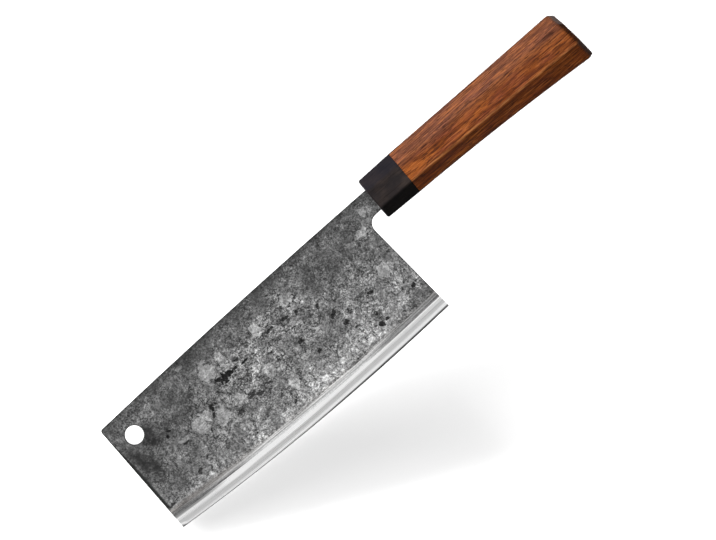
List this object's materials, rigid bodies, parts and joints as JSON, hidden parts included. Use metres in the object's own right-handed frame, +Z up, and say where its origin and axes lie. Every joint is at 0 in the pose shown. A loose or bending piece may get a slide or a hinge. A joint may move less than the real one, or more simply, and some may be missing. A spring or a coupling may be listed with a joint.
{
  "type": "chinese cleaver",
  "caption": "Chinese kitchen cleaver: a wide layered blade with dark forged faces, ground bevels and a hanging hole, on a flared octagonal wooden handle with a black ferrule.",
  "frame": {"origin": "middle of the base of the knife's box, with the knife on its side and its blade level", "axes": "+X along the spine from the front end to the handle's butt, +Y from the cutting edge to the spine, +Z up, out of the pictured side of the blade"},
  "size_m": [0.3232, 0.0798, 0.025],
  "materials": {
    "core_steel": "ground satin, bright along the edge",
    "forged_cladding": "matte grey forge scale, ground along the lower border",
    "ferrule_black": "dense, black, satin",
    "grip_wood": "oiled reddish brown, fine grain along the handle",
    "dowel_wood": "plain, unseen",
    "epoxy": "set hard, dark"
  },
  "bodies": {
    "root": {"core_steel": "core_steel", "cladding_left": "forged_cladding", "cladding_right": "forged_cladding", "ferrule": "ferrule_black", "grip": "grip_wood", "dowel_left": "dowel_wood", "dowel_right": "dowel_wood", "tang_bedding": "epoxy"}
  },
  "joints": []
}
